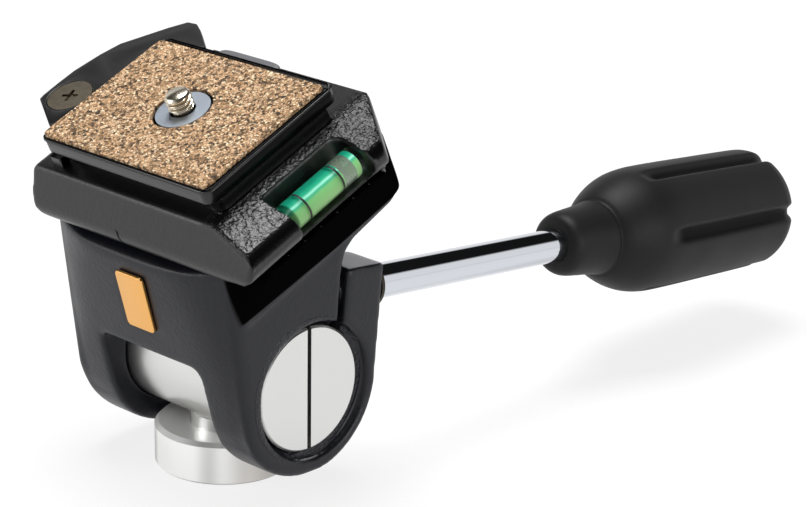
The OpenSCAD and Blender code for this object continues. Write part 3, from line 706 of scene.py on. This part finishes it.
# %% Cut the thread of the camera screw
def threaded_shank(start, top, radius, pitch, depth, steps=128, tip=0.6):
    """Radius = crest minus depth times a rounded wave of (height / pitch - turn), on a grid of both."""
    height = np.concatenate([np.linspace(start, top - tip, 84), np.linspace(top - tip, top, 8)[1:]])
    angle = np.linspace(0, 2 * math.pi, steps, endpoint=False)
    h, a = np.meshgrid(height, angle, indexing="ij")
    phase = (h / pitch - a / (2 * math.pi)) % 1
    wave = between(np.abs(phase - 0.5) * 2.6 - 0.1, 0, 1)
    fade = np.clip((top - 0.2 - h) / 0.5, 0, 1)
    r = radius - depth * wave * fade
    chamfer = np.clip((h - (top - tip)) / tip, 0, 1)
    r = np.minimum(r, radius - chamfer * tip * 0.95)
    r = np.minimum(r, radius - 0.7 + np.clip((h - start) / 0.5, 0, 1) * 0.7)
    points = np.stack([SCREW[0] + r * np.cos(a), SCREW[1] + r * np.sin(a), h], axis=-1)
    faces = grid_faces(len(height), steps, wrap_cols=True)[:, ::-1].tolist()
    points = np.vstack([points.reshape(-1, 3), [[*SCREW, top - 0.04], [*SCREW, start]]])
    rim, pole = np.arange(steps), len(height) * steps
    return on_head(points), faces + fan(rim + pole - steps, pole) + fan(rim[::-1], pole + 1)


def screw_head(cut):
    """The part of the solid screw below a height, merged, as points and faces."""
    shape = bmesh.new()
    shape.from_mesh(nodes["camera_screw"].data)
    bmesh.ops.remove_doubles(shape, verts=shape.verts, dist=WELD)
    geometry = shape.verts[:] + shape.edges[:] + shape.faces[:]
    place = on_head([[0, 0, cut]])[0]
    bmesh.ops.bisect_plane(shape, geom=geometry, plane_co=place, plane_no=head_axes[:, 2],
                           clear_outer=True)
    mesh = bpy.data.meshes.new("screw head")
    shape.to_mesh(mesh)
    shape.free()
    return corners(mesh), [tuple(p.vertices) for p in mesh.polygons]


thread_points, thread_faces = threaded_shank(start=CORK_TOP + 0.05, top=CORK_TOP + 4.3, radius=3.175,
                                             pitch=1.27, depth=0.72)
head_points, head_faces = screw_head(cut=CORK_TOP + 0.25)
shift = len(thread_points)
screw = new_piece("camera_screw_threaded", np.vstack([thread_points, head_points]),
                  thread_faces + [tuple(v + shift for v in f) for f in head_faces])
screw.data.set_sharp_from_angle(angle=math.radians(50))
paint(screw, nickel)
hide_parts("camera_screw")
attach(screw, "camera_screw")
print("thread points", shift)

# %% [markdown]
# The level is an acrylic tube with a slug of green liquid and a bubble. In real acrylic the light
# bends at each wall, so each body is a piece of its own: the tube, the liquid on both sides of the
# bubble, the bubble, a hair short of both so that no two surfaces coincide, and the printed rings.
# The liquid's ends beside the bubble are hollow curves, because it climbs the wall. The tube casts no
# shadow, so that the lamps reach the liquid through it as they do through real acrylic.

# %% The vial, its liquid and its bubble
VIAL_R, BORE_R, VIAL_HALF = 3.5, 2.6, 12.0
BUBBLE_START, BUBBLE_END = 4.5, 9.4
RING_PLACES = (-7.0, 4.0)


def round_ended(radius, start, end, edge, count=10):
    """Profile of a rod with rounded ends: quarter circles of radius edge at each end."""
    t = np.linspace(0, math.pi / 2, count)
    first = np.stack([start + edge * (1 - np.sin(t)), radius - edge * (1 - np.cos(t))], axis=-1)[::-1]
    last = np.stack([end - edge * (1 - np.sin(t)), radius - edge * (1 - np.cos(t))], axis=-1)
    return np.vstack([[[start, 0.0]], first, last, [[end, 0.0]]])


def in_vial(points):
    """Millimetres from the vial's middle, with y along it, to metres in the scene."""
    return on_head(points + VIAL)


def vial_piece(name, profile):
    """A solid of revolution whose first and last profile points lie on the axis: both poles are fans."""
    ring = revolve(profile[1:-1])
    turns, steps = ring.shape[:2]
    points = np.vstack([ring.reshape(-1, 3), [[0, profile[0][0], 0], [0, profile[-1][0], 0]]])
    rim, pole = np.arange(turns) * steps, turns * steps
    faces = grid_faces(turns, steps, wrap_rows=True).tolist()
    piece = new_piece(name, in_vial(points), faces + fan(rim, pole) + fan(rim[::-1] + steps - 1, pole + 1))
    face_outwards(piece.data)
    piece.data.set_sharp_from_angle(angle=math.radians(35))
    return piece


tube = vial_piece("vial_tube", round_ended(VIAL_R, -VIAL_HALF, VIAL_HALF, 0.5))
t = np.linspace(0, 1, 14)
meniscus = np.stack([BUBBLE_START + 0.5 * t ** 2.2, BORE_R * t], axis=-1)
near_end = np.array([[1.4, 0], [1.4, BORE_R - 0.6], [1.7, BORE_R - 0.15], [2.1, BORE_R]]) - [VIAL_HALF, 0]
liquid = vial_piece("vial_green_liquid", np.vstack([near_end, meniscus[::-1]]))
far_meniscus = np.stack([BUBBLE_END - 0.6 * t ** 2.2, BORE_R * t], axis=-1)
far_end = np.array([[-2, BORE_R], [-1.5, BORE_R - 0.2], [-1.3, BORE_R - 0.7], [-1.3, 0]]) + [VIAL_HALF, 0]
far_liquid = vial_piece("vial_green_liquid_end", np.vstack([far_meniscus, far_end]))
hair = [0.002, 0]  # millimetres between the bubble and the liquid
bubble = vial_piece("vial_bubble", np.vstack([meniscus + hair, far_meniscus[::-1] - hair]))
print("bubble is", round(BUBBLE_END - BUBBLE_START, 1), "mm long")

band = np.array([[-0.28, 3.49], [-0.28, 3.53], [0.28, 3.53], [0.28, 3.49]])
rings = np.concatenate([revolve(band + [place, 0]) for place in RING_PLACES])
ring_faces = grid_faces(len(rings) // 2, len(band), wrap_rows=True, wrap_cols=True)
printed = new_piece("vial_printed_rings", in_vial(rings.reshape(-1, 3)),
                    np.vstack([ring_faces, ring_faces + len(ring_faces)]))
face_outwards(printed.data)


def clear(name, colour, ior, share=1.0):
    """A body that passes a share of the light and tints it, and scatters the rest at its surface."""
    material, tree, shader = finish(name, colour, 0.0, ior=ior)
    plug(shader, Transmission_Weight=share)
    return material, tree, shader


def glowing_liquid(name):
    """Dyed level liquid, with painted light: teal as painted shade on one side, light green as painted
    light on the other, and a pale painted highlight streak between.
    """
    material, tree, shader = clear(name, "#39c58c", 1.02, 0.3)
    where = add(tree, "TexCoord").outputs["Object"]
    across = head_axes @ np.array([0.66, 0, -0.751])
    centre = float(across @ on_head([VIAL])[0])
    side = add(tree, "VectorMath", operation="DOT_PRODUCT", _0=where, _1=tuple(across))
    part = add(tree, "MapRange", Value=side, From_Min=centre - 2.5 * MM, From_Max=centre + 2.5 * MM)
    streak = add(tree, "TexNoise", Vector=where, Scale=1 / (2.2 * MM), Detail=1.0)
    shade = add(tree, "Math", operation="MULTIPLY_ADD", _0=streak, _1=0.06, _2=part)
    # The pale stop at 0.38 is a painted highlight; the teal and the light green are painted shade and light
    # over the dye's green.
    dye_and_painted_light = add(tree, "ValToRGB", Fac=shade, stops=[
        (0.1, "#178a70"), (0.28, "#34ad8b"), (0.38, "#acf2df"), (0.47, "#3eb390"), (0.6, "#8bca88"),
        (1.0, "#add998")])
    plug(shader, Base_Color=dye_and_painted_light, Roughness=0.3, Specular_Tint=(0.1, 0.1, 0.1, 1.0))
    return material


acrylic, _, shader = clear("clear acrylic", "#eefaf0", 1.49)
plug(shader, Specular_Tint=(0.03, 0.034, 0.03, 1.0), Roughness=0.13)
paint(tube, acrylic)
tube.visible_shadow = False
dyed = glowing_liquid("dyed level liquid")
paint(liquid, dyed)
paint(far_liquid, dyed)
paint(bubble, clear("air in acrylic", "#d8e3d3", 0.72, 0.75)[0])
paint(printed, finish("black ring ink", "#0b0b0c", 0.4)[0])
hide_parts("level_vial")
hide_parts("vial_liquid")
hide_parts("vial_rings")
for piece, slot_name in ((tube, "level_vial"), (liquid, "vial_liquid"), (far_liquid, "vial_liquid"),
                         (bubble, "level_vial"), (printed, "vial_rings")):
    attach(piece, "yoke")

# %% [markdown]
# The grip is one rubber moulding: a rolled lip round the rod, a short neck, a domed shoulder and a
# barrel with five soft flutes. Its radius is a smooth profile along the rod, less a groove whose
# depth falls off like a bell curve on each side of the flute's line, so no edge of it is sharp.

# %% Mould the grip
GRIP_L = 87.7
RUBBER_BLACK = "#0f0f10"


def smooth_path(points, steps):
    """Catmull-Rom: between two points a cubic whose slope at each is that of its two neighbours."""
    p = np.asarray(points, float)
    p = np.vstack([2 * p[0] - p[1], p, 2 * p[-1] - p[-2]])
    t = np.linspace(0, 1, steps, endpoint=False)[None, :, None]
    a, b, c, d = (p[i:len(p) - 3 + i, None, :] for i in range(4))
    square, cube = 2 * a - 5 * b + 4 * c - d, 3 * b - a - 3 * c + d
    curve = 0.5 * (2 * b + (c - a) * t + square * t ** 2 + cube * t ** 3)
    return np.vstack([curve.reshape(-1, p.shape[1]), p[-2]])


def grip_skin(turns=240, first=15.0, spacing=(0, 67.5, 69, 74.5, 74.5), start=29.0, width=2.0,
              depth=1.7, barrel=16.5):
    """Radius(along, angle) = profile(along) - depth x bell(distance across the flute) x run-in(along)."""
    corner = np.linspace(0, math.pi / 2, 9)
    end = np.stack([GRIP_L - 8 + 8 * np.sin(corner), 8.3 + 8 * np.cos(corner)], axis=-1)
    lip = [[7, 4.33], [1.45, 4.33], [1.3, 4.4], [1.27, 4.9], [1.3, 5.6], [1.5, 6.4], [2.05, 7.3],
           [3.2, 8.05], [5.0, 8.45]]
    body = [[8, 8.75], [11.5, 9.05], [14, 9.35], [16.2, 9.7], [17.0, 9.55], [17.5, 9.9], [18.2, 10.8],
            [19.8, 12.1], [22.2, 13.5], [25.4, 14.95], [29.0, 16.0], [33.3, 16.55], [38, 16.7], [46, 16.7],
            [56, 16.6], [66, 16.5], [74, 16.4]]
    path = smooth_path(np.vstack([lip, body, end, [[GRIP_L, 4.0]], [[GRIP_L, 0.4]]]), 7)
    along, radius = path[:, 0], path[:, 1]
    angle = np.linspace(0, 2 * math.pi, turns, endpoint=False)
    centres = math.pi / 2 - np.radians(first + np.cumsum(spacing))
    apart = (angle[:, None] - centres[None, :] + math.pi) % (2 * math.pi) - math.pi
    across = np.abs(apart).min(axis=1) * barrel
    bell = np.exp(-(across / width) ** 4)
    run_in = between(along, start, start + 7.0) * np.clip(radius / 8.0 - 0.6, 0, 1)
    r = radius[None, :] - depth * bell[:, None] * run_in[None, :]
    sunk = bell[:, None] * run_in[None, :]
    x, z = r * np.cos(angle)[:, None], r * np.sin(angle)[:, None]
    return np.stack([x, np.broadcast_to(along, r.shape), z], axis=-1), sunk


skin, sunk = grip_skin()
turns, length = skin.shape[:2]
faces = grid_faces(turns, length, wrap_rows=True).tolist()
points = np.vstack([skin.reshape(-1, 3), [[0, GRIP_L, 0]]])
rim = np.arange(turns)[::-1] * length + length - 1
faces += fan(rim, turns * length)
grip = new_piece("handle_grip_moulding", on_handle(points + [0, GRIP_Y, 0]), faces)
face_outwards(grip.data)
groove = grip.data.attributes.new("groove", "FLOAT", "POINT")
groove.data.foreach_set("value", np.append(sunk.ravel(), 0.0))
rubber = moulded("moulded black rubber", RUBBER_BLACK, grain=0.5, depth=0.03, roughness=0.52)
in_groove = add(rubber.node_tree, "Attribute", attribute_name="groove").outputs["Fac"]
# Painted shade: the bottom of each flute is drawn darker and without shine.
painted_shade_in_flutes = add(rubber.node_tree, "MapRange", Value=in_groove, From_Min=0.35, From_Max=1.0)
painted_shade(rubber, painted_shade_in_flutes, 0.2, RUBBER_BLACK, "#060606", 0.06)
paint(grip, rubber)
paint(nodes["grip_core"], rubber)
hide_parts("handle_grip")
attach(grip, "handle")
print("grip grid", turns, "by", length)

# %% [markdown]
# The stage is a white sweep. A camera ray that meets the world sees plain white, and so does one that
# passes through the acrylic. A mirror sees white low down and a dark ceiling above, which gives black
# enamel its contrast, and other surfaces take a weak even light. The rest comes from three soft panels.
# The camera stands where the photograph's camera stood, found by matching the head's own circles and
# corners, with a roll of one degree. The panel above doesn't light the vial's acrylic and bubble and
# isn't seen through them: its thin mirror image would break up into white specks. The vial's soft
# streak is drawn in the liquid instead.

# %% Camera, floor and light
CAMERA = dict(turn=44.073, rise=19.217, roll=0.931, place=(0.430487, -0.383550, 0.253497), lens=115.01)


def aim(turn, rise, roll):
    """Columns right, up and back of the camera, from its turn, rise and roll in degrees."""
    a, e, k = (math.radians(v) for v in (turn, rise, roll))
    back = np.array([math.sin(a) * math.cos(e), -math.cos(a) * math.cos(e), math.sin(e)])
    right = np.array([math.cos(a), math.sin(a), 0])
    up = np.cross(back, right)
    rolled = right * math.cos(k) + up * math.sin(k), up * math.cos(k) - right * math.sin(k)
    return np.stack([*rolled, back], axis=1)


camera = placed("camera", bpy.data.cameras.new("camera"))
matrix = np.eye(4)
matrix[:3, :3] = aim(CAMERA["turn"], CAMERA["rise"], CAMERA["roll"])
matrix[:3, 3] = CAMERA["place"]
camera.matrix_world = Matrix(matrix.tolist())
camera.data.lens = CAMERA["lens"]
camera.data.sensor_width = 36
camera.data.sensor_fit = "HORIZONTAL"
camera.data.clip_start = 0.01
camera.data.clip_end = 20
bpy.context.scene.camera = camera


def soft_panel(name, place, target, width, height, power):
    """A rectangular lamp at a place in metres, aimed at a target."""
    lamp = bpy.data.lights.new(name, "AREA")
    lamp.shape = "RECTANGLE"
    lamp.size, lamp.size_y, lamp.energy = width, height, power
    panel = placed(name, lamp)
    back = np.array(place, float) - np.array(target, float)
    back /= np.linalg.norm(back)
    right = np.cross([0, 0, 1], back)
    right /= np.linalg.norm(right)
    turn = np.eye(4)
    turn[:3, :3] = np.stack([right, np.cross(back, right), back], axis=1)
    turn[:3, 3] = place
    panel.matrix_world = Matrix(turn.tolist())
    return panel


HEAD_MIDDLE = (0, 0, 0.05)
above = soft_panel("panel_above", (-0.12, 0.08, 0.95), HEAD_MIDDLE, 0.5, 0.5, 11)
above.visible_transmission = False
unlit = bpy.data.collections.new("not lit by the panel above")
for piece in (tube, bubble):
    unlit.objects.link(piece)
above.light_linking.receiver_collection = unlit
for member in unlit.collection_objects:
    member.light_linking.link_state = "EXCLUDE"
soft_panel("panel_front_left", (-0.55, -0.9, 0.4), HEAD_MIDDLE, 0.5, 0.5, 4)
soft_panel("panel_right", (0.95, 0.1, 0.3), (0, 0.03, 0.05), 0.35, 0.4, 3)

WHITE_BELOW, DARK_ABOVE = math.radians(22), math.radians(28)
world = bpy.data.worlds.new("white sweep under a dark ceiling")
bpy.context.scene.world = world
world.use_nodes = True
tree = world.node_tree
tree.nodes.clear()
rays = add(tree, "LightPath")
seen = add(tree, "Math", operation="MAXIMUM", _0=rays.outputs["Is Camera Ray"],
           _1=rays.outputs["Is Transmission Ray"])
heading = add(tree, "SeparateXYZ", Vector=add(tree, "TexCoord").outputs["Generated"]).outputs["Z"]
sweep = add(tree, "MapRange", Value=heading, From_Min=math.sin(WHITE_BELOW), From_Max=math.sin(DARK_ABOVE),
            To_Min=1.0, To_Max=0.01)
shiny = add(tree, "Background", Color=linear("#ffffff"), Strength=sweep)
soft = add(tree, "Background", Color=linear("#ffffff"), Strength=0.3)
studio = add(tree, "MixShader", Fac=rays.outputs["Is Glossy Ray"], _1=soft, _2=shiny)
white = add(tree, "Background", Color=linear("#ffffff"), Strength=1.0)
mixed = add(tree, "MixShader", Fac=seen, _1=studio, _2=white)
add(tree, "OutputWorld", Surface=mixed)

floor_mesh = bpy.data.meshes.new("studio_floor")
ring = np.linspace(0, 2 * math.pi, 96, endpoint=False)
floor_mesh.from_pydata([(6 * math.cos(a), 6 * math.sin(a), -0.0002) for a in ring], [], [tuple(range(96))])
floor = placed("studio_floor", floor_mesh)
paper, tree, shader = finish("white paper sweep", "#f2f2f2", 0.9)
plug(shader, Specular_IOR_Level=0.0)
glow = add(tree, "Emission", Color=linear("#ffffff"), Strength=1.0)
rays = add(tree, "LightPath")
seen = add(tree, "Math", operation="MAXIMUM", _0=rays.outputs["Is Camera Ray"],
           _1=rays.outputs["Is Transmission Ray"])
seen = add(tree, "Math", operation="MAXIMUM", _0=seen, _1=rays.outputs["Is Glossy Ray"])
white_share = add(tree, "Math", operation="MULTIPLY", _0=seen, _1=0.8)
lit = add(tree, "MixShader", Fac=white_share, _1=shader, _2=glow)
plug(tree.nodes["Material Output"], Surface=lit)
paint(floor, paper)

# %% [markdown]
# A plain view transform shows each colour about as it was written.

# %% Plain colour handling
bpy.context.scene.view_settings.view_transform = "Standard"
